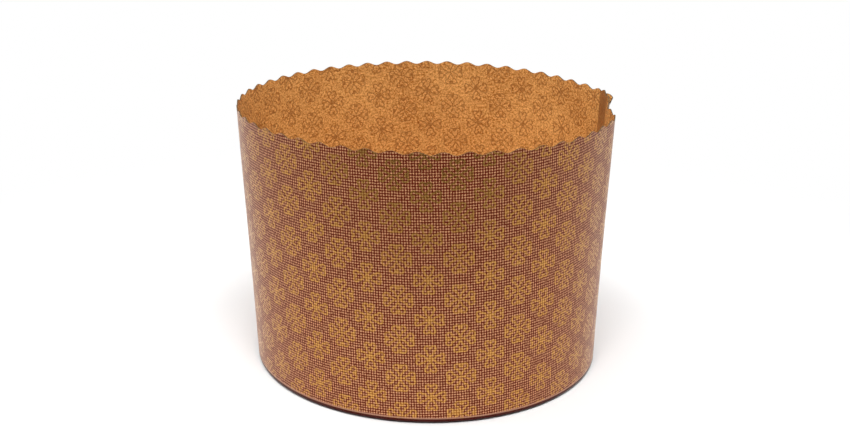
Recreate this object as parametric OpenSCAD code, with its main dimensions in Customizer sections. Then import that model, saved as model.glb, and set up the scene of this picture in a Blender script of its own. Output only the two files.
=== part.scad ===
// Paper baking mold. One printed paper strip is wrapped into a slightly flared ring and
// glued where its ends lap. Its top edge is scalloped, and its lower margin is creased,
// turned in and glued under the edge of a round paper disc.
// The mold stands on the margin, with its axis on Z and the table at z = 0.
// Directions are in degrees from the front (-Y), growing towards the right (+X).

/* [Wall] */
// Outer diameter at the bottom crease
base_d = 134.4; // [90:0.1:220]
// Outer diameter at the rim
rim_d = 142; // [92:1:240]
// Height from the table to the tips of the scallops
wall_h = 101.3; // [40:0.1:180]
// Thickness of the wall paper
wall_t = 0.4; // [0.2:0.05:0.8]
// How far the three soft lobes of the rim stand off a true circle
lobe = 0.75; // [0:0.05:2]
// Direction of the first lobe
lobe_a = 37; // [0:1:120]

/* [Scalloped edge] */
// Length of one scallop along the rim
scallop_w = 8.78; // [6:0.02:16]
// Depth from the tip of a scallop to the valley beside it
scallop_h = 1.25; // [0:0.05:4]
// Direction of the scallop tip nearest the front
tip_a = 3.35; // [0:0.05:8]

/* [Glued lap] */
// Direction of the free end of the outer layer
lap_a = 100; // [0:1:330]
// Width of the lap along the rim
lap_w = 9; // [8:0.5:50]
// How much higher the inner end stands than the rest of the edge
lap_rise = 1; // [0:0.1:3]
// Length over which the wall steps in before it passes under the outer layer
lap_ease = 14; // [4:1:30]
// Depth of the soft dent beside the stiff lap
lap_dent = 2; // [0:0.1:3]
// How many degrees before the outer layer's free end the dent is deepest
dent_off = 14; // [0:1:30]
// How far the rim swells out over and behind the lap
lap_swell = 2; // [0:0.1:3]

/* [Turned-in margin] */
// Height of the crease above the table
crease_z = 1.4; // [0.8:0.1:4]
// Size of the small round on the crease
crease_round = 0.5; // [0.1:0.1:0.8]
// How far inside the crease the margin comes down to the table
crease_run = 3; // [2:0.5:6]
// Width of the margin from the crease to its free edge
margin_w = 9; // [8:0.5:16]
// Width of the gathered band along the free edge
gather_w = 3; // [0.5:0.5:3]
// Depth of a gather on the underside
gather_h = 0.15; // [0:0.01:0.15]
// Number of gathers round the margin
gathers = 90; // [40:1:120]

/* [Base disc] */
// Thickness of the disc paper
disc_t = 0.6; // [0.3:0.1:2]
// Clearance between the edge of the disc and the sloping margin
disc_gap = 0.3; // [0.1:0.05:0.8]

/* [Hidden] */

base_r = base_d / 2;
rim_r = rim_d / 2;
scallop_deg = scallop_w / rim_r * 180 / PI;
lap_deg = lap_w / rim_r * 180 / PI;
ease_deg = lap_ease / rim_r * 180 / PI;
lobes = 3;

// Sections along the strip: this many to a scallop, and a pair this far apart at each free end
SECTIONS_PER_SCALLOP = 6;
END_DEG = 0.04;
// Half the width of the bead that joins the tops of the two layers, and the bevel of a cut edge
BEAD = wall_t / 10;
EDGE_BEVEL = wall_t / 8;
// How far the corner of the fold draws in, and the height of the sloping paper, cut upright
FOLD_IN = crease_round / 4;
SLOPE_T = wall_t * norm([crease_run, crease_z]) / crease_run;
// Spread of the dent, and how far before it the rim swells out by a share of its depth
DENT_DEG = 6;
SWELL_OFF_DEG = 14;
SWELL_SHARE = 0.45;
// Spread of the broad swelling at the lap, and how far it lies behind the dent
LAP_SWELL_DEG = 10;
LAP_SWELL_OFF_DEG = 22;
// Facets of the disc's round edge
DISC_FACETS = 180;

function smooth(x) = let (c = min(max(x, 0), 1)) c * c * (3 - 2 * c);
function hump(deg, spread) = exp(-pow(deg / spread, 2));
function turn_off(a) = let (d = a - lap_a) d - 360 * round(d / 360);

// Height of the scalloped edge at strip angle s, which runs from lap_a to one turn and a lap on
function edge_z(s) =
    wall_h
    - scallop_h * (1 - cos(360 * (s - tip_a) / scallop_deg)) / 2
    + lap_rise * smooth((s - lap_a - 360 + ease_deg) / ease_deg);

// How far the rim stands outside its nominal circle at angle a
function rim_off(a) =
    let (d = turn_off(a + dent_off))
    lobe * cos(lobes * (a - lobe_a))
    - lap_dent * (hump(d, DENT_DEG) - SWELL_SHARE * hump(d + SWELL_OFF_DEG, DENT_DEG))
    + lap_swell * hump(d - LAP_SWELL_OFF_DEG, LAP_SWELL_DEG);

// Outer radius of the wall at angle a and height z, straight from the crease to the rim
function wall_r(a, z) =
    base_r + (rim_r + rim_off(a) - base_r) * (z - crease_z) / (wall_h - crease_z);

// Closed section of the paper at angle a as [radius, height] points: down the outside,
// in along the underside of the margin, back out above it, and up the inside.
// step_in is how far the outer face lies inside its nominal place, and layers is 1 or 2.
function section(a, step_in, layers, z_outer, z_inner) =
    let (
        out_r = function (z) wall_r(a, z) - step_in,
        in_r = function (z) wall_r(a, z) - step_in - layers * wall_t,
        crease_r = out_r(crease_z) - FOLD_IN,
        bead_r = layers == 2 ? wall_t : wall_t / 2,
        fold_z = crease_z + crease_round,
        inner_fold_z = crease_z + SLOPE_T + layers * crease_round,
        rest_r = base_r - crease_run,
        free_r = base_r - margin_w,
        groove = gather_h * (1 - cos(gathers * a)) / 2
    )
    [
        [out_r(z_outer), z_outer - EDGE_BEVEL],
        [out_r(fold_z), fold_z],
        [crease_r, crease_z],
        [rest_r, 0],
        [free_r + gather_w, 0],
        [free_r, groove],
        [free_r, wall_t],
        [rest_r, wall_t],
        [crease_r - wall_t, crease_z + SLOPE_T],
        [in_r(inner_fold_z), inner_fold_z],
        [in_r(z_inner), z_inner - EDGE_BEVEL],
        [out_r(z_inner) - bead_r - BEAD, z_inner],
        [out_r(z_outer) - bead_r + BEAD, z_outer],
    ];

// Where the two layers lie on each other
function lap_section(a) = section(a, 0, 2, edge_z(a), edge_z(a + 360));

// Elsewhere the strip is single, and steps in just before it passes under its own start
function single_section(a) =
    section(a, wall_t * smooth((a - lap_a - 360 + ease_deg) / ease_deg), 1, edge_z(a), edge_z(a));

function place(a, points) = [for (p = points) [p[0] * sin(a), -p[0] * cos(a), p[1]]];

// A closed ring of sections with equal numbers of points, each joined to the next
module ring(sections) {
    count = len(sections);
    size = len(sections[0]);
    polyhedron(
        points = [for (s = sections, p = s) p],
        faces = [
            for (i = [0:count - 1], j = [0:size - 1])
                let (
                    here = i * size,
                    next = (i + 1) % count * size,
                    k = (j + 1) % size
                )
                each [
                    [here + j, next + j, next + k],
                    [here + j, next + k, here + k],
                ]
        ]
    );
}

// The wrapped strip with its scallops, its lap and its turned-in margin
module side_wall() {
    step = scallop_deg / SECTIONS_PER_SCALLOP;
    lap_end = lap_a + lap_deg;
    first_tip = tip_a + ceil((lap_a - tip_a) / step) * step;
    angles = [for (a = [first_tip:step:lap_a + 360]) a];
    lap_angles = [for (a = angles) if (a > lap_a + END_DEG && a < lap_end - END_DEG) a];
    single_angles = [for (a = angles) if (a > lap_end + 2 * END_DEG && a < lap_a + 360 - 2 * END_DEG) a];
    color([0.58, 0.39, 0.24])
        ring(concat(
            [for (a = concat([lap_a], lap_angles, [lap_end])) place(a, lap_section(a))],
            [
                for (a = concat([lap_end + END_DEG], single_angles, [lap_a + 360 - END_DEG]))
                    place(a, single_section(a))
            ]
        ));
}

// The round bottom, which lies on the margin and is glued to it
module base_disc() {
    color([0.72, 0.48, 0.27])
        translate([0, 0, wall_t])
            cylinder(r = base_r - crease_run - disc_gap, h = disc_t, $fn = DISC_FACETS);
}

side_wall();
base_disc();
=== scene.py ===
# %% [markdown]
# A paper baking mold for a tall yeast cake, as bakeries buy it by the thousand. It is one strip
# of printed brown paper, wrapped into a ring and glued, with a round paper bottom. This file
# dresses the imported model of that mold: the two pieces are made again as thin folded sheets,
# with the print, the cut edges and the small gathers that a solid model leaves out.

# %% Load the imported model
import math
import random

import bmesh
import bpy
from mathutils import Matrix, Vector, noise


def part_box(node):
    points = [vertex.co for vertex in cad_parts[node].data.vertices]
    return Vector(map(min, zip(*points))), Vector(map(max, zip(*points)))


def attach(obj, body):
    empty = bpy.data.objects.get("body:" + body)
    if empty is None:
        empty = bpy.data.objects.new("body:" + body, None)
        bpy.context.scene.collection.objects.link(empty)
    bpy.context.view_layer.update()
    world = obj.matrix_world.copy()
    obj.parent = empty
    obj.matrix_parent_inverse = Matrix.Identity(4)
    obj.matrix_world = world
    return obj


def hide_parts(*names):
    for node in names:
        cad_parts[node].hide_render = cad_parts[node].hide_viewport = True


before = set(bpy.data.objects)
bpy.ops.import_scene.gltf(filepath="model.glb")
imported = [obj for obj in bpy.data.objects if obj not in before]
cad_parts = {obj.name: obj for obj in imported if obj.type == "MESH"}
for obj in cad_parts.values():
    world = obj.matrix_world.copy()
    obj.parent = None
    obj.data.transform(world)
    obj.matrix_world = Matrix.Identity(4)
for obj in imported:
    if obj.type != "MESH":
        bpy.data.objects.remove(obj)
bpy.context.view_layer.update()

# %% [markdown]
# The sizes. The paper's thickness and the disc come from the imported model, because the disc lies
# on one thickness of the wall paper. The rest repeats the driving sizes of the solid model, in
# metres. Only the crease lies lower here, because a folded sheet can lie flatter than a solid with
# sound edges. Directions are in degrees from the front (-Y), growing towards the right (+X).

# %% Sizes of the mold
MM = 0.001
disc_low, disc_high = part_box("base_disc")
PAPER = disc_low.z
DISC_R = (disc_high.x - disc_low.x) / 2
DISC_TOP = disc_high.z

CREASE_RUN = 3 * MM
DISC_GAP = 0.3 * MM
BASE_R = DISC_R + CREASE_RUN + DISC_GAP
RIM_R = 71 * MM
WALL_H = 101.3 * MM
CREASE_Z = 0.7 * MM
MARGIN_W = 9 * MM

SCALLOP = 8.78 * MM
SCALLOP_H = 1.25 * MM
TIP_DEG = 3.35

LAP_START = 100
LAP_W = 9 * MM
LAP_RISE = 1 * MM
LAP_EASE = 14 * MM
LAP_DENT = 2 * MM
DENT_OFF = 14
LAP_SWELL = 2 * MM
LOBE = 0.75 * MM
LOBE_DEG = 37
LOBES = 3
DENT_DEG = 6
SWELL_OFF_DEG = 14
SWELL_SHARE = 0.45
LAP_SWELL_DEG = 10
LAP_SWELL_OFF_DEG = 22

TURN = 360
SCALLOP_DEG = math.degrees(SCALLOP / RIM_R)
LAP_DEG = math.degrees(LAP_W / RIM_R)
EASE_DEG = math.degrees(LAP_EASE / RIM_R)
FLAP_START = LAP_START + TURN
STRIP_END = FLAP_START + LAP_DEG
print(f"base radius {BASE_R / MM:.2f} mm, strip from {LAP_START} to {STRIP_END:.2f} degrees")

# %% [markdown]
# Two kinds of operator help are needed all through: a new primitive has to be alone in the
# selection, and edit mode has to act only on the faces or edges that were picked by their place.

# %% Helpers for modelling with operators
def start_alone():
    """Leaves nothing selected, so that the next operator acts on the next piece alone."""
    if bpy.context.mode != "OBJECT":
        bpy.ops.object.mode_set(mode="OBJECT")
    bpy.ops.object.select_all(action="DESELECT")


def pick(piece, wanted, kind="VERT"):
    """In edit mode, selects what of this kind the test wants, and nothing else."""
    bpy.ops.object.mode_set(mode="EDIT")
    bpy.ops.mesh.select_mode(type=kind)
    bpy.ops.mesh.select_all(action="DESELECT")
    shape = bmesh.from_edit_mesh(piece.data)
    parts = {"VERT": shape.verts, "EDGE": shape.edges, "FACE": shape.faces}[kind]
    for part in parts:
        if wanted(part):
            part.select_set(True)
    shape.select_flush_mode()
    bmesh.update_edit_mesh(piece.data)


def finish_modifiers(piece):
    """Applies what modifiers the piece has, in order."""
    bpy.ops.object.mode_set(mode="OBJECT")
    bpy.context.view_layer.objects.active = piece
    for modifier in list(piece.modifiers):
        bpy.ops.object.modifier_apply(modifier=modifier.name)


def smooth(x):
    """Runs from 0 to 1 with soft ends as x does."""
    x = min(max(x, 0), 1)
    return x * x * (3 - 2 * x)


# %% [markdown]
# The wall starts as a flat blank, as on the real object: a printed strip, not yet cut. A grid is
# that strip. Its length is the strip's angle in degrees, and its height is the distance above the
# crease in metres. The wall part comes first, and the crease and the margin are then extruded from
# its lower edge, row by row and closer together where the paper bends.

# %% The flat blank: a grid with an extruded margin
COLUMNS = 760
WALL_ROWS = 22
CREASE_BAND = 2 * MM
BEND_STEP, SLOPE_STEP, EVEN_STEP, EDGE_STEP = 0.2 * MM, 0.3 * MM, 0.5 * MM, 0.46 * MM
MARGIN_STEPS = [BEND_STEP] * 20 + [SLOPE_STEP] * 6 + [EVEN_STEP] * 4
MARGIN_STEPS += [EDGE_STEP] * round((CREASE_BAND + MARGIN_W - sum(MARGIN_STEPS)) / EDGE_STEP)
WALL_FLAT_H = WALL_H - CREASE_Z

start_alone()
bpy.ops.mesh.primitive_grid_add(x_subdivisions=COLUMNS, y_subdivisions=WALL_ROWS, size=1)
wall = bpy.context.object
wall.name = "wall_sheet"
bpy.ops.object.mode_set(mode="EDIT")
bpy.ops.transform.translate(value=(0.5, 0.5, 0))
bpy.ops.transform.resize(value=(STRIP_END - LAP_START, WALL_FLAT_H - CREASE_BAND, 1),
                         center_override=(0, 0, 0))
bpy.ops.transform.translate(value=(LAP_START, CREASE_BAND, 0))

NEAR = MM / 100
pick(wall, lambda e: all(abs(v.co.y - CREASE_BAND) < NEAR for v in e.verts), "EDGE")
for step in MARGIN_STEPS:
    bpy.ops.mesh.extrude_edges_move(TRANSFORM_OT_translate={"value": (0, -step, 0)})

# The inner end of the strip has no margin: its corner is cut off, so that the lap stays thin
FLAP_FOOT = 0.8 * MM
pick(wall, lambda f: f.calc_center_median().x > FLAP_START
     and f.calc_center_median().y < FLAP_FOOT, "FACE")
bpy.ops.mesh.delete(type="FACE")
bpy.ops.object.mode_set(mode="OBJECT")
print("blank:", len(wall.data.vertices), "vertices,", len(MARGIN_STEPS), "rows below the wall")

# %% [markdown]
# A die cuts the scallops into the upper edge of the flat blank. Here the rows of the wall part are
# stretched up or down to that edge, so the mesh has no steps. The edge also climbs a little
# towards the inner end of the strip, because the strip was wrapped slightly askew.

# %% The scalloped edge
def edge_height(strip_deg):
    """Height of the cut edge above the table."""
    scallop = SCALLOP_H * (1 - math.cos(math.tau * (strip_deg - TIP_DEG) / SCALLOP_DEG)) / 2
    climb = LAP_RISE * smooth((strip_deg - FLAP_START + EASE_DEG) / EASE_DEG)
    return WALL_H - scallop + climb


for v in wall.data.vertices:
    if v.co.y > CREASE_BAND:
        share = (v.co.y - CREASE_BAND) / (WALL_FLAT_H - CREASE_BAND)
        v.co.y = CREASE_BAND + share * (edge_height(v.co.x) - CREASE_Z - CREASE_BAND)
edge_heights = [edge_height(v.co.x) for v in wall.data.vertices]
print(f"edge from {min(edge_heights) / MM:.2f} to {max(edge_heights) / MM:.2f} mm")

# %% [markdown]
# The print was laid on the paper while it was flat, and a flared ring is flat only as a piece of a
# cone, cut as an arc. So the rows of print bend across the wall and its columns lean near the
# sides. The strip was also laid a little askew, so the print drifts by some millimetres towards
# the back. The UV map holds each point's place on that flat arc, in units of PRINT_UNIT metres.

# %% Places on the printed sheet
PRINT_UNIT = 0.5
PRINT_CENTRE_DEG = 314.1
DRIFT_DEG, DRIFT_UP, DRIFT_RUN = 5.9, 3.2 * MM, 130
FLARE = (RIM_R - BASE_R) / (WALL_H - CREASE_Z)
CONE = math.sin(math.atan(FLARE))


def sheet_place(strip_deg, height):
    """Place in metres on the flat arc, from the crease at the sheet's centre line."""
    drift = smooth((PRINT_CENTRE_DEG - strip_deg) / DRIFT_RUN)
    reach = (BASE_R + FLARE * height) / CONE + DRIFT_UP * drift
    turn = math.radians(strip_deg + DRIFT_DEG * drift - PRINT_CENTRE_DEG) * CONE
    return reach * math.sin(turn), reach * math.cos(turn) - BASE_R / CONE


sheet_uv = wall.data.uv_layers[0] if wall.data.uv_layers else wall.data.uv_layers.new()
sheet_uv.name = "sheet"
for corner, loop in zip(sheet_uv.data, wall.data.loops):
    across, up = sheet_place(*wall.data.vertices[loop.vertex_index].co.xy)
    corner.uv = (across / PRINT_UNIT, up / PRINT_UNIT)
print("printed sheet:", round((STRIP_END - LAP_START) / TURN * math.tau * BASE_R / MM), "mm long")

# %% [markdown]
# Then the blank is wrapped. Its path goes up the wall, round the crease, down the slope to the
# table and in along it. Averaging that path over a short length rounds its bends. The rim isn't a
# true circle: it has three soft lobes, a dent where the stiff double lap begins and a swelling
# behind it.

# %% The shape of the wrapped wall
def rim_offset(a):
    """How far the rim stands outside its circle in direction a."""
    from_dent = (a + DENT_OFF - LAP_START + TURN / 2) % TURN - TURN / 2

    def hump(deg, spread):
        return math.exp(-((deg / spread) ** 2))

    lobes = LOBE * math.cos(LOBES * math.radians(a - LOBE_DEG))
    swell_before = SWELL_SHARE * hump(from_dent + SWELL_OFF_DEG, DENT_DEG)
    swell_behind = LAP_SWELL * hump(from_dent - LAP_SWELL_OFF_DEG, LAP_SWELL_DEG)
    return lobes - LAP_DENT * (hump(from_dent, DENT_DEG) - swell_before) + swell_behind


BEND_REACH = 0.4 * MM
BEND_SAMPLES = 7
SLOPE_LENGTH = math.hypot(CREASE_RUN, CREASE_Z)


def sharp_path(height, rim_r):
    """Radius and height of the outer face where the sheet is this far above the crease."""
    if height >= 0:
        return BASE_R + (rim_r - BASE_R) * height / WALL_FLAT_H, CREASE_Z + height
    if height > -SLOPE_LENGTH:
        share = -height / SLOPE_LENGTH
        return BASE_R - CREASE_RUN * share, CREASE_Z * (1 - share)
    return BASE_R - CREASE_RUN + height + SLOPE_LENGTH, 0


def bent_path(height, rim_r):
    """The same path with its bends rounded."""
    if height > CREASE_BAND:
        return sharp_path(height, rim_r)
    spots = [sharp_path(height + BEND_REACH * (2 * i / (BEND_SAMPLES - 1) - 1), rim_r)
             for i in range(BEND_SAMPLES)]
    return sum(r for r, z in spots) / BEND_SAMPLES, sum(z for r, z in spots) / BEND_SAMPLES


# %% [markdown]
# A round margin that is turned in has too much paper at its inner edge. It gathers in small
# pressed folds, all laid the same way and none quite as wide as the next. They are a saw shape
# in the height of the margin, which grows towards the free edge.

# %% Gathers of the turned-in margin
GATHER_DEPTH = 0.18 * MM
GATHER_START = SLOPE_LENGTH - 0.8 * MM
GATHER_FULL = MARGIN_W - 1.5 * MM
GATHER_COLUMNS = (6, 7, 8, 8, 9, 10)
LOWEST_GATHER = 0.6
random.seed(31)
gather_saw = []
while len(gather_saw) <= COLUMNS:
    width = random.choice(GATHER_COLUMNS)
    height_share = random.uniform(LOWEST_GATHER, 1)
    gather_saw += [height_share * i / (width - 1) for i in range(width)]


def gather_height(strip_deg, height):
    """How far the margin stands off the table because of its gathers."""
    column = round((strip_deg - LAP_START) / (STRIP_END - LAP_START) * COLUMNS)
    growth = smooth((-height - GATHER_START) / (GATHER_FULL - GATHER_START))
    return GATHER_DEPTH * gather_saw[column] * growth


# %% [markdown]
# Wrapping moves every point of the blank to its place on the ring. Handling has left its marks, so
# the ring leans by a millimetre, its wall waves by a tenth of one, and the free corner of the
# outer layer curls out. A point attribute marks the inner end of the strip, where the paper lies
# double; the bare inside is painted darker there, as painted shade for the light that two layers
# hold back.

# %% Wrap the blank into the mold
GLUE = 0.04 * MM
LEAN = (-1 * MM, 0.3 * MM)
CURL, CURL_H, CURL_DEG = 2.2 * MM, 9 * MM, 4
WAVE, WAVE_SIZE, WAVE_FULL = 0.12 * MM, 32 * MM, 20 * MM


def wrapped(strip_deg, height):
    """Where a point of the flat blank lies on the finished mold."""
    a = math.radians(strip_deg)
    r, z = bent_path(height, RIM_R + rim_offset(strip_deg))
    r -= (PAPER + GLUE) * smooth((strip_deg - FLAP_START + EASE_DEG) / EASE_DEG)
    z += gather_height(strip_deg, height)
    around = Vector((math.sin(a) * RIM_R, -math.cos(a) * RIM_R, z)) / WAVE_SIZE
    r += WAVE * noise.noise(around) * smooth(height / WAVE_FULL)
    curled = smooth((height - WALL_FLAT_H + CURL_H) / CURL_H) ** 2
    r += CURL * curled * smooth(1 - (strip_deg - LAP_START) / CURL_DEG)
    lean_x, lean_y = (lean * max(height, 0) / WALL_FLAT_H for lean in LEAN)
    return r * math.sin(a) + lean_x, -r * math.cos(a) + lean_y, z


DOUBLED_EASE = 3
doubled = wall.data.attributes.new("doubled", "FLOAT", "POINT")
for v, mark in zip(wall.data.vertices, doubled.data):
    mark.value = smooth((v.co.x - FLAP_START + DOUBLED_EASE) / DOUBLED_EASE)
    v.co = wrapped(v.co.x, v.co.y)
wall.data.update()
print("wrapped:", [round(x / MM, 2) for x in wall.dimensions])

# %% [markdown]
# The sheet now gets the thickness of the paper, inwards from its printed face. The modifier also
# tells the faces apart: the printed outside, the bare inside and the cut edge each get a material
# slot of their own.

# %% Paper thickness
PRINTED, BARE, CUT = range(3)
thickness = wall.modifiers.new("paper", "SOLIDIFY")
thickness.thickness = PAPER
thickness.offset = -1
thickness.use_even_offset = True
thickness.material_offset = BARE
thickness.material_offset_rim = CUT
FOLD_ANGLE, DISC_ANGLE, STAMPED_ANGLE = math.radians(50), math.radians(40), math.radians(60)
for slot_name in ("printed", "bare", "cut"):
    wall.data.materials.append(bpy.data.materials.new(slot_name))
start_alone()
wall.select_set(True)
finish_modifiers(wall)
bpy.ops.object.shade_smooth_by_angle(angle=FOLD_ANGLE)
print("wall faces:", len(wall.data.polygons))

# %% [markdown]
# The bottom is a stamped disc of the same brown paper. A plain cylinder would look like a coin, so
# the disc is built from rings: its edge lies on the margin and is glued to it, its middle sinks
# to the table, and the folds of the margin show through it as faint ripples.

# %% The base disc
DISC_SHEET = 0.4 * MM
DISC_SIDES = 240
DISC_RINGS = 26
SHELF_R = BASE_R - MARGIN_W
SINK = 0.3 * MM
SINK_RUN = 5 * MM
SINK_SHARE, SINK_UNEVEN, UNEVEN_SIZE = 0.8, 0.3, 30 * MM
RIPPLE, RIPPLES = 0.035 * MM, 89
RIPPLE_REACH, RIPPLE_RUN = 4 * MM, 5 * MM
STAMPED_ROUND = 0.08 * MM
CENTRE_SHARE = 1.5

start_alone()
bpy.ops.mesh.primitive_circle_add(vertices=DISC_SIDES, radius=DISC_R, fill_type="NGON")
disc = bpy.context.object
disc.name = "base_sheet"
bpy.ops.object.mode_set(mode="EDIT")
for ring in range(DISC_RINGS):
    bpy.ops.mesh.inset(thickness=DISC_R / (DISC_RINGS + CENTRE_SHARE), use_even_offset=False)
bpy.ops.mesh.poke()
bpy.ops.object.mode_set(mode="OBJECT")


def disc_height(x, y):
    """Height of the disc's upper face: a shelf on the margin, and lower inside it."""
    r, a = math.hypot(x, y), math.atan2(y, x)
    inside = smooth((SHELF_R - r) / SINK_RUN)
    ripple = RIPPLE * math.cos(RIPPLES * a) * smooth((r - SHELF_R + RIPPLE_REACH) / RIPPLE_RUN)
    slow = noise.noise(Vector((x, y, 0)) / UNEVEN_SIZE)
    return DISC_TOP - SINK * inside * (SINK_SHARE + SINK_UNEVEN * slow) - RIPPLE + ripple


for v in disc.data.vertices:
    v.co.z = disc_height(v.co.x, v.co.y)
disc_paper = disc.modifiers.new("paper", "SOLIDIFY")
disc_paper.thickness = DISC_SHEET
disc_paper.offset = -1
disc_edge = disc.modifiers.new("stamped edge", "BEVEL")
disc_edge.width = STAMPED_ROUND
disc_edge.segments = 2
disc_edge.limit_method = "ANGLE"
disc_edge.angle_limit = STAMPED_ANGLE
finish_modifiers(disc)
bpy.ops.object.shade_smooth_by_angle(angle=DISC_ANGLE)
print("disc:", len(disc.data.polygons), "faces,", [round(x / MM, 2) for x in disc.dimensions])

# %% [markdown]
# The finishes. Each material is a small net of nodes. One function adds a node, sets it and links
# it, and colours are written as on a paint card and turned to the linear values that light needs.
# FIRST and SECOND are the sockets of the two colours that a mixing node runs between.

# %% Helpers for materials
FIRST, SECOND = 6, 7


def linear(colour):
    """The linear colour of an sRGB hex value."""
    parts = [int(colour[i:i + 2], 16) / 255 for i in (1, 3, 5)]
    return (*[p / 12.92 if p <= 0.04045 else ((p + 0.055) / 1.055) ** 2.4 for p in parts], 1)


def add(tree, kind, *inputs, named=(), **settings):
    """Adds a node. inputs go to its open sockets in order and named to sockets by name:
    a node or socket is linked, a value is set, and None leaves the socket alone."""
    made = tree.nodes.new("ShaderNode" + kind)
    for key, value in settings.items():
        setattr(made, key, value)
    sockets = [s for s in made.inputs if s.enabled]
    pairs = list(zip(sockets, inputs)) + [(made.inputs[k], v) for k, v in dict(named).items()]
    for socket, value in pairs:
        if isinstance(value, bpy.types.Node):
            value = next(s for s in value.outputs if s.enabled)
        if isinstance(value, bpy.types.NodeSocket):
            tree.links.new(value, socket)
        elif value is not None:
            socket.default_value = value
    return made


def fresh_tree(material):
    """Empties a material's node tree and returns it with its output node."""
    material.use_nodes = True
    material.node_tree.nodes.clear()
    return material.node_tree, add(material.node_tree, "OutputMaterial")


# %% [markdown]
# The print repeats two small four-petalled flowers in a brick pattern. A petal is a heart: a drop on
# the petal's axis, with its point towards the flower's centre, and a round lobe at each side of its
# far end. A round mark fills the notch between the lobes, and a dot fills the flower's centre.
# Folding the plane over the axes and the diagonals draws all four petals from half of one. Every
# shape is a distance in millimetres, below zero inside, so that lines keep their width.

# %% One flower as a distance
PITCH_X, PITCH_Y = 21.39, 15.03
PETAL_BLEND = 0.25


def flower(tree, sheet, centre, stretch, point, drop, drop_r, lobe, lobe_r, line, mark, mark_r,
           mark_end, hub_r):
    """Distance to the nearest flower of one kind, in mm, from a place on the sheet in mm."""
    def measure(start, place, operation):
        return add(tree, "VectorMath", start, place, operation=operation).outputs[1]

    def less(value, other):
        return add(tree, "Math", value, other, operation="SUBTRACT")

    half = (PITCH_X / 2, PITCH_Y / 2, 1)
    off = add(tree, "VectorMath", sheet, (*centre, 0), operation="SUBTRACT")
    cell = add(tree, "VectorMath", off, half, [-x for x in half], operation="WRAP")
    sized = add(tree, "VectorMath", cell, (stretch, 1, 0), operation="MULTIPLY")
    folded = add(tree, "SeparateXYZ", add(tree, "VectorMath", sized, operation="ABSOLUTE"))
    across = add(tree, "Math", folded.outputs[0], folded.outputs[1], operation="MINIMUM")
    along = add(tree, "Math", folded.outputs[0], folded.outputs[1], operation="MAXIMUM")
    petal = add(tree, "CombineXYZ", across, along, 0)

    taper = drop_r / (drop - point)
    flank = math.sqrt(1 - taper * taper)
    from_point = add(tree, "VectorMath", petal, (0, point, 0), operation="SUBTRACT")
    straight = measure(from_point, (flank, -taper, 0), "DOT_PRODUCT")
    end = less(measure(petal, (0, drop, 0), "DISTANCE"), drop_r)
    level = measure(from_point, (taper, flank, 0), "DOT_PRODUCT")
    past = add(tree, "Math", level, flank * (drop - point), operation="GREATER_THAN")
    body = add(tree, "Mix", past, straight, end, data_type="FLOAT")
    side = less(measure(petal, (*lobe, 0), "DISTANCE"), lobe_r)
    heart = add(tree, "Math", body, side, PETAL_BLEND, operation="SMOOTH_MIN")

    middle = add(tree, "Math", heart, line / 2, operation="ADD")
    stroke = less(add(tree, "Math", middle, operation="ABSOLUTE"), line / 2)
    bead = less(measure(petal, (0, mark, 0), "DISTANCE"), mark_r)
    inset = add(tree, "Math", bead, less(along, mark_end), operation="MAXIMUM")
    hub = less(add(tree, "VectorMath", petal, operation="LENGTH").outputs[1], hub_r)
    marks = add(tree, "Math", inset, hub, operation="MINIMUM")
    return add(tree, "Math", stroke, marks, operation="MINIMUM")


# %% [markdown]
# The two kinds of flower stand in the corners and in the middle of each cell of the pattern. All
# their sizes are in millimetres. The ink has bled a little, so a noise moves its edge in and out.

# %% The flower print
FIRST_X, FIRST_Y = 56.43, 9.11
KINDS = (
    dict(centre=(FIRST_X, FIRST_Y), stretch=1.03, point=0.6, drop=3.0, drop_r=1.75,
         lobe=(1.12, 4.2), lobe_r=1.25, line=0.7, mark=4.45, mark_r=0.62, mark_end=5.0, hub_r=1.1),
    dict(centre=(FIRST_X + PITCH_X / 2, FIRST_Y + PITCH_Y / 2), stretch=1.02, point=0.3,
         drop=3.1, drop_r=1.5, lobe=(1.35, 4.1), lobe_r=1.4, line=0.64, mark=4.6, mark_r=0.95,
         mark_end=5.35, hub_r=0.5),
)
INK_EDGE = 0.12
BLEED, BLEED_MIDDLE = 0.35, 0.5


def flower_print(tree, sheet, thinner=0.0):
    """How much flower ink lies at a place on the sheet, from 0 to 1, with its lines thinner on
    each side by so many mm."""
    ragged = add(tree, "TexNoise", sheet, named={"Scale": 1.6, "Detail": 2.0})
    drift = add(tree, "Math", ragged, BLEED_MIDDLE, operation="SUBTRACT")
    both = add(tree, "Math", *[flower(tree, sheet, **kind) for kind in KINDS], operation="MINIMUM")
    spread = add(tree, "Math", drift, BLEED, thinner, operation="MULTIPLY_ADD")
    edge = add(tree, "Math", both, spread, operation="ADD")
    return add(tree, "MapRange", edge, INK_EDGE, -INK_EDGE, 0.0, 1.0,
               interpolation_type="SMOOTHSTEP")


def sheet_millimetres(tree):
    """The place on the printed sheet, in mm, from the piece's own UV map."""
    uv = add(tree, "UVMap", uv_map="sheet")
    unit = PRINT_UNIT / MM
    return add(tree, "VectorMath", uv, (unit, unit, 0), operation="MULTIPLY")
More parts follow.
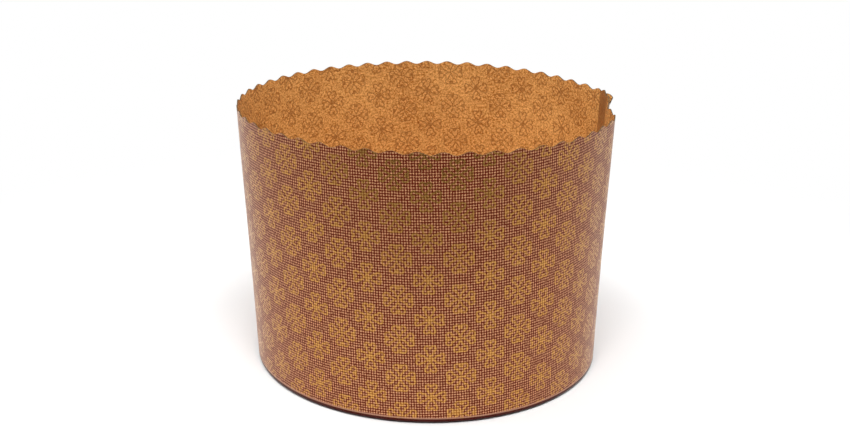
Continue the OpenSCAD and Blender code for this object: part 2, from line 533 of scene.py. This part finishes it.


# %% [markdown]
# Printed outside: greaseproof kraft paper, printed in two inks and calendered. A dark red-brown net
# with threads under a millimetre apart leaves the paper's tan in its gaps, and a gold-bronze
# ink lies over it in the flowers. The gold mirrors the light around it, so it is bright where it
# sees the table and dull where it doesn't. Along the crease the pattern ends in a pale line, a
# painted highlight on the fold's edge, and a solid dark band, painted shade for the fold where it
# turns under. Fine fibres give the paper a pale sheen where the wall turns away from the eye.

# %% Printed kraft paper
NET_X, NET_Y = 0.94, 0.985
NET_SHAKE, NET_UNEVEN = 0.24, 0.9
NET_DARK, NET_GAP = "#641e06", "#d89c70"
GOLD_ON_THREAD, GOLD_ON_GAP = "#96602a", "#d49e56"
GOLD_METAL = 0.8
# Painted light along the crease: the pale line is a painted highlight on the fold's edge, and the
# solid dark band below it is painted shade for the fold turning under.
CREASE_PAINTED_SHADE, CREASE_PAINTED_HIGHLIGHT, PAINTED_HIGHLIGHT_SHARE = "#430f08", "#b5866f", 0.75
LINE_EDGE = 0.1 * MM
PAINTED_SHADE_TOP = 1.8 * MM
PAINTED_HIGHLIGHT_TOP = 2.4 * MM
SPOT = (65.2, 2.6)
SPOT_SIZE = (1.9, 1.3)


def printed_kraft(material):
    """Brown paper with a dark red net, gold flowers and a painted highlight and shade at the crease.
    """
    tree, output = fresh_tree(material)
    sheet = sheet_millimetres(tree)
    ink = flower_print(tree, sheet)

    wander = add(tree, "TexNoise", sheet, named={"Scale": 0.7, "Detail": 1.0})
    shake = add(tree, "VectorMath", wander.outputs[1], (NET_SHAKE, NET_SHAKE, 0), operation="MULTIPLY")
    shaken = add(tree, "VectorMath", sheet, shake, operation="ADD")
    turns = add(tree, "VectorMath", shaken, (math.tau / NET_X, math.tau / NET_Y, 0),
                operation="MULTIPLY")
    waves = add(tree, "SeparateXYZ", add(tree, "VectorMath", turns, operation="COSINE"))
    threads = add(tree, "Math", waves.outputs[0], waves.outputs[1], operation="ADD")
    blot = add(tree, "TexNoise", sheet, named={"Scale": 1.3, "Detail": 2.0})
    uneven = add(tree, "MapRange", blot, 0.3, 0.7, -NET_UNEVEN, NET_UNEVEN)
    net = add(tree, "MapRange", add(tree, "Math", threads, uneven, operation="ADD"),
              -0.5, 1.9, 0.0, 1.0, interpolation_type="SMOOTHSTEP")
    ground = add(tree, "Mix", net, None, None, data_type="RGBA",
                 named={FIRST: linear(NET_DARK), SECOND: linear(NET_GAP)})
    covered = add(tree, "MapRange", net, 0.0, 0.35, 0.0, 1.0)
    gold = add(tree, "Mix", covered, None, None, data_type="RGBA",
               named={FIRST: linear(GOLD_ON_THREAD), SECOND: linear(GOLD_ON_GAP)})

    off = add(tree, "VectorMath", sheet, (*SPOT, 0), operation="SUBTRACT")
    sized = add(tree, "VectorMath", off, (1 / SPOT_SIZE[0], 1 / SPOT_SIZE[1], 0),
                operation="MULTIPLY")
    spot_off = add(tree, "VectorMath", sized, operation="LENGTH")
    spot = add(tree, "MapRange", spot_off.outputs[1], 1.1, 0.9, 0.0, 1.0)
    gold_ink = add(tree, "Math", ink, spot, operation="MAXIMUM")

    printed = add(tree, "Mix", gold_ink, None, None, data_type="RGBA",
                  named={FIRST: ground.outputs[2], SECOND: gold.outputs[2]})
    height = add(tree, "SeparateXYZ", add(tree, "TexCoord").outputs["Object"]).outputs[2]
    # Painted highlight: a pale line just above the crease.
    painted_highlight_mask = add(tree, "MapRange", height, PAINTED_HIGHLIGHT_TOP + LINE_EDGE, PAINTED_HIGHLIGHT_TOP, 0.0, PAINTED_HIGHLIGHT_SHARE)
    with_painted_highlight = add(tree, "Mix", painted_highlight_mask, None, None, data_type="RGBA",
                named={FIRST: printed.outputs[2], SECOND: linear(CREASE_PAINTED_HIGHLIGHT)})
    # Painted shade: a solid dark band from the crease down over the turned-under fold.
    painted_shade_band = add(tree, "MapRange", height, PAINTED_SHADE_TOP + LINE_EDGE, PAINTED_SHADE_TOP, 0.0, 1.0)
    colour = add(tree, "Mix", painted_shade_band, None, None, data_type="RGBA",
                 named={FIRST: with_painted_highlight.outputs[2], SECOND: linear(CREASE_PAINTED_SHADE)})
    metal = add(tree, "Math", gold_ink, GOLD_METAL, operation="MULTIPLY")
    rough = add(tree, "MapRange", gold_ink, 0.0, 1.0, 0.5, 0.38)
    fibre = add(tree, "TexNoise", sheet, named={"Scale": 3.5, "Detail": 4.0})
    relief = add(tree, "Math", fibre, add(tree, "Math", net, 0.35, operation="MULTIPLY"),
                 operation="ADD")
    bump = add(tree, "Bump", named={"Strength": 0.25, "Distance": 0.05 * MM, "Height": relief})
    shader = add(tree, "BsdfPrincipled", named={
        "Base Color": colour.outputs[2], "Metallic": metal, "Roughness": rough, "Normal": bump,
        "IOR": 1.5, "Specular IOR Level": 0.12, "Sheen Weight": 0.22, "Sheen Roughness": 0.35,
        "Sheen Tint": (1, 0.9, 0.8, 1)})
    tree.links.new(shader.outputs[0], output.inputs[0])


# %% [markdown]
# Bare inside: the same kraft paper without ink. It is matt and mottled where fibres lie thicker. The
# print on the other face shows through it as thin brown lines, seen from behind.

# %% Bare kraft paper
SHOW_THINNER, SHOW_SHARE = 0.1, 0.6
MIDDLE_TONE, WALL_SPAN, DISC_SPAN = 0.875, 0.17, 0.26
SPECK_SHARE, CLOUD_SHARE = 0.6, 0.15
KRAFT_DARK, KRAFT_LIGHT = "#985408", "#f0b86c"
SHOW_THROUGH = "#7d4312"
# Painted shade for the double layer at the inner end of the strip, which lets less light through.
DOUBLED_PAINTED_SHADE, DOUBLED_SHADE_SHARE = "#83501f", 0.75


def bare_kraft(material, flowers):
    """Brown paper without ink, with or without the flowers that show through from behind."""
    tree, output = fresh_tree(material)
    if flowers:
        sheet = sheet_millimetres(tree)
    else:
        place = add(tree, "TexCoord").outputs["Object"]
        sheet = add(tree, "VectorMath", place, (1 / MM,) * 3, operation="MULTIPLY")
    mottle = add(tree, "TexNoise", sheet, named={"Scale": 1.1, "Detail": 4.0, "Roughness": 0.65})
    clouds = add(tree, "TexNoise", sheet, named={"Scale": 0.05, "Detail": 2.0})
    speck = add(tree, "TexNoise", sheet, named={"Scale": 2.4, "Detail": 2.0})
    mixed = add(tree, "Math", mottle, add(tree, "Math", speck, SPECK_SHARE, operation="MULTIPLY"),
                operation="ADD")
    tone = add(tree, "Math", mixed, add(tree, "Math", clouds, CLOUD_SHARE, operation="MULTIPLY"),
               operation="ADD")
    span = WALL_SPAN if flowers else DISC_SPAN
    shade = add(tree, "MapRange", tone, MIDDLE_TONE - span, MIDDLE_TONE + span, 0.0, 1.0)
    paper = add(tree, "Mix", shade, None, None, data_type="RGBA",
                named={FIRST: linear(KRAFT_DARK), SECOND: linear(KRAFT_LIGHT)})
    colour = paper.outputs[2]
    if flowers:
        through = add(tree, "Math", flower_print(tree, sheet, SHOW_THINNER), SHOW_SHARE,
                      operation="MULTIPLY")
        colour = add(tree, "Mix", through, None, None, data_type="RGBA",
                     named={FIRST: colour, SECOND: linear(SHOW_THROUGH)}).outputs[2]
        # Painted shade: the inside is darker where the paper lies double.
        doubled = add(tree, "Attribute", attribute_name="doubled").outputs["Fac"]
        double_layer_shade = add(tree, "Math", doubled, DOUBLED_SHADE_SHARE, operation="MULTIPLY")
        colour = add(tree, "Mix", double_layer_shade, None, None, data_type="RGBA",
                     named={FIRST: colour, SECOND: linear(DOUBLED_PAINTED_SHADE)}).outputs[2]
    bump = add(tree, "Bump", named={"Strength": 0.35, "Distance": 0.06 * MM, "Height": mixed})
    shader = add(tree, "BsdfPrincipled", named={
        "Base Color": colour, "Roughness": 0.72, "Normal": bump, "IOR": 1.5,
        "Specular IOR Level": 0.3})
    tree.links.new(shader.outputs[0], output.inputs[0])


# %% [markdown]
# Cut edge: the die leaves a rough edge, coloured grey-brown and darker than the face of the paper.

# %% Cut paper edge
FIBRES_PER_METRE = 900.0
EDGE_DARK, EDGE_LIGHT = "#43321f", "#6e5639"


def cut_edge(material):
    """The rough die-cut edge of the paper."""
    tree, output = fresh_tree(material)
    place = add(tree, "TexCoord").outputs["Object"]
    fibres = add(tree, "TexNoise", place, named={"Scale": FIBRES_PER_METRE, "Detail": 3.0})
    colour = add(tree, "Mix", fibres, None, None, data_type="RGBA",
                 named={FIRST: linear(EDGE_DARK), SECOND: linear(EDGE_LIGHT)})
    shader = add(tree, "BsdfPrincipled", named={
        "Base Color": colour.outputs[2], "Roughness": 0.85, "IOR": 1.5,
        "Specular IOR Level": 0.2})
    tree.links.new(shader.outputs[0], output.inputs[0])


# %% [markdown]
# The wall gets all three papers, one to a slot. The disc has one, the bare paper without flowers,
# because it is cut from plain stock.

# %% Give the pieces their materials
printed_kraft(wall.data.materials[PRINTED])
bare_kraft(wall.data.materials[BARE], flowers=True)
cut_edge(wall.data.materials[CUT])
wall.data.materials[PRINTED].name = "printed_kraft_paper"
wall.data.materials[BARE].name = "bare_kraft_paper"
wall.data.materials[CUT].name = "cut_paper_edge"
disc.data.materials.append(bpy.data.materials.new("base_kraft_paper"))
bare_kraft(disc.data.materials[0], flowers=False)
print("materials:", [m.name for m in (*wall.data.materials, *disc.data.materials)])

# %% [markdown]
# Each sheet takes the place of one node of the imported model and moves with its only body.

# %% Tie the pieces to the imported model
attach(wall, "root")
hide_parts("side_wall")
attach(disc, "root")
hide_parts("base_disc")

# %% [markdown]
# The floor is a sheet of white paper, which keeps the shadow near the mold. Farther out it is seen
# and mirrored as plain white, but it throws no more light for that. It ends a little in front of
# the mold, as a table does, so the wall mirrors white only in its lower half.

# %% Floor and background
FLOOR_SIZE = 6
FLOOR_FRONT = -0.2
FLOOR_WHITE = 0.76
FADE_FROM, FADE_TO = 0.1, 0.3

start_alone()
bpy.ops.mesh.primitive_plane_add(size=FLOOR_SIZE, location=(0, FLOOR_FRONT + FLOOR_SIZE / 2, 0))
floor = bpy.context.object
floor.name = "floor"


def white_floor(material):
    """Matt white paper, seen and mirrored as plain white away from the mold."""
    tree, output = fresh_tree(material)
    paint = add(tree, "BsdfDiffuse", (*[FLOOR_WHITE] * 3, 1))
    glow = add(tree, "Emission", (1, 1, 1, 1), 1.0)
    place = add(tree, "NewGeometry").outputs["Position"]
    reach = add(tree, "VectorMath", place, operation="LENGTH")
    far = add(tree, "MapRange", reach.outputs[1], FADE_FROM, FADE_TO, 0.0, 1.0,
              interpolation_type="SMOOTHSTEP")
    ray = add(tree, "LightPath")
    seen = add(tree, "Math", ray.outputs["Is Camera Ray"], ray.outputs["Is Glossy Ray"],
               operation="MAXIMUM")
    white = add(tree, "Math", far, seen, operation="MULTIPLY")
    tree.links.new(add(tree, "MixShader", white, paint, glow).outputs[0], output.inputs[0])


floor.data.materials.append(bpy.data.materials.new("white_sheet"))
white_floor(floor.data.materials[0])

# %% [markdown]
# Soft studio light from above: a dome that is dark low down in front and bright overhead and behind,
# one large softbox high in front and one at each side. The dark room in front keeps the printed
# wall deep in colour, and the crease gets its dark line on the floor because no light comes in low.

# %% Light
DOME_LOW, DOME_HIGH = 0.05, 0.8
DOME_FROM, DOME_TO = 0.3, 0.85
BEHIND, BEHIND_FROM, BEHIND_TO = 0.8, 0.3, 0.8
world = bpy.data.worlds.new("studio")
bpy.context.scene.world = world
world.use_nodes = True
world.node_tree.nodes.clear()
sky = world.node_tree
up = add(sky, "SeparateXYZ", add(sky, "TexCoord").outputs["Generated"])
level = add(sky, "MapRange", up.outputs[2], DOME_FROM, DOME_TO, DOME_LOW, DOME_HIGH,
            interpolation_type="SMOOTHSTEP")
behind = add(sky, "MapRange", up.outputs[1], BEHIND_FROM, BEHIND_TO, 0.0, BEHIND,
             interpolation_type="SMOOTHSTEP")
strength = add(sky, "Math", level, behind, operation="MAXIMUM")
dome = add(sky, "Background", (1, 1, 1, 1), strength)
white = add(sky, "Background", (1, 1, 1, 1), 1.0)
sky_mix = add(sky, "MixShader", add(sky, "LightPath").outputs["Is Camera Ray"], dome, white)
sky.links.new(sky_mix.outputs[0], add(sky, "OutputWorld").inputs[0])


def softbox(name, place, aim, size, watts):
    """A square area lamp at a place, turned to look at a point."""
    lamp = bpy.data.lights.new(name, "AREA")
    lamp.size = size
    lamp.energy = watts
    holder = bpy.data.objects.new(name, lamp)
    holder.location = place
    holder.rotation_euler = (Vector(aim) - Vector(place)).to_track_quat("-Z", "Y").to_euler()
    bpy.context.scene.collection.objects.link(holder)
    return holder


MIDDLE = (0, 0, WALL_H / 2)
BOX_SIZE = 0.6
softbox("softbox_front", (0.0, -0.6, 1.15), MIDDLE, BOX_SIZE, 14)
softbox("softbox_left", (-0.9, 0.1, 0.8), MIDDLE, BOX_SIZE, 5)
softbox("softbox_right", (0.9, 0.1, 0.8), MIDDLE, BOX_SIZE, 3.5)

# %% [markdown]
# The camera stands half a metre away and looks down at 19 degrees. Its place and lens were worked
# out from the outline of the mold in the photograph, and its small roll from the table line.

# %% Camera
PHOTO_W = 850
FOCAL_PIXELS = 1268.32
SENSOR = 36
camera_data = bpy.data.cameras.new("camera")
camera_data.sensor_width = SENSOR
camera_data.lens = FOCAL_PIXELS * SENSOR / PHOTO_W
camera = bpy.data.objects.new("camera", camera_data)
bpy.context.scene.collection.objects.link(camera)
CAMERA_PLACE = (0, -468.99 * MM, 216.97 * MM)
PITCH_DEG, ROLL_DEG, YAW_DEG = -19.39, 0.835, 0.145
turned = (Matrix.Rotation(math.radians(YAW_DEG), 4, "Z")
          @ Matrix.Rotation(math.radians(90 + PITCH_DEG), 4, "X")
          @ Matrix.Rotation(math.radians(ROLL_DEG), 4, "Z"))
camera.matrix_world = Matrix.Translation(CAMERA_PLACE) @ turned
bpy.context.scene.camera = camera
bpy.context.scene.view_settings.view_transform = "Standard"
